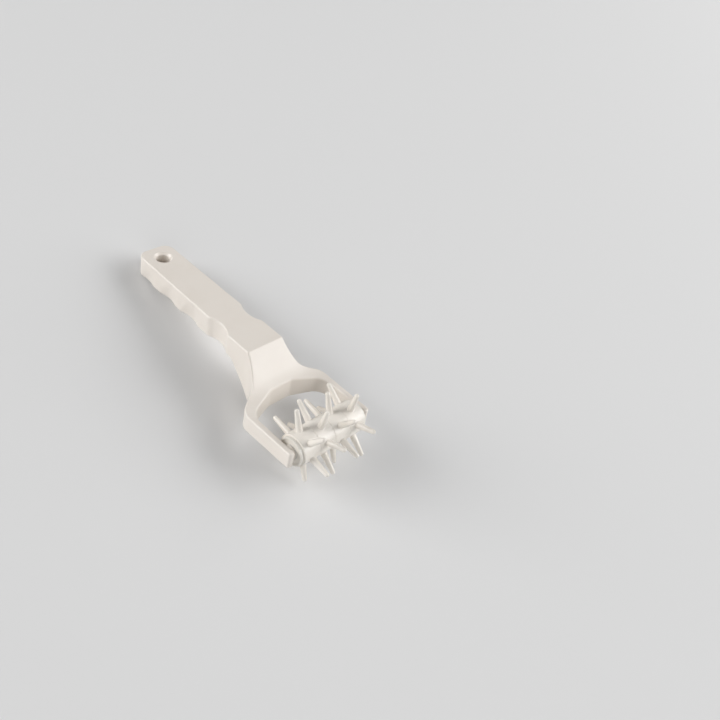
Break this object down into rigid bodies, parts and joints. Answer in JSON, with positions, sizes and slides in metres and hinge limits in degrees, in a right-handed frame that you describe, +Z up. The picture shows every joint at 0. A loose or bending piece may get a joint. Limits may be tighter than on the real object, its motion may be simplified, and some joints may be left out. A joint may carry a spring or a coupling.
{
  "type": "dough docker",
  "caption": "Hand-held dough docker: a barrel of tapered pins turns freely between the arms of a forked plastic handle with finger grooves and a hanging hole.",
  "frame": {"origin": "on the table, below the middle of the object's bounding box, as it rests on its pins and the end of its handle", "axes": "+X along the handle toward its end, +Y along the roller axis, +Z up"},
  "size_m": [0.2407, 0.0802, 0.0599],
  "materials": {
    "handle_plastic": "satin moulded ivory plastic",
    "ring_plastic": "glossy moulded white plastic",
    "collar_plastic": "satin moulded white plastic",
    "core_plastic": "plain moulded plastic"
  },
  "bodies": {
    "frame": {"frame": "handle_plastic"},
    "roller": {"axle_core": "core_plastic", "pin_ring_1": "ring_plastic", "pin_ring_2": "ring_plastic", "pin_ring_3": "ring_plastic", "pin_ring_4": "ring_plastic", "end_collar_near": "collar_plastic", "end_collar_far": "collar_plastic"}
  },
  "joints": [
    {"name": "roller_spin", "type": "hinge", "parent": "frame", "child": "roller", "pos_m": [-0.09052, 0, 0.02996], "axis": [0, 1, 0], "continuous": true}
  ]
}
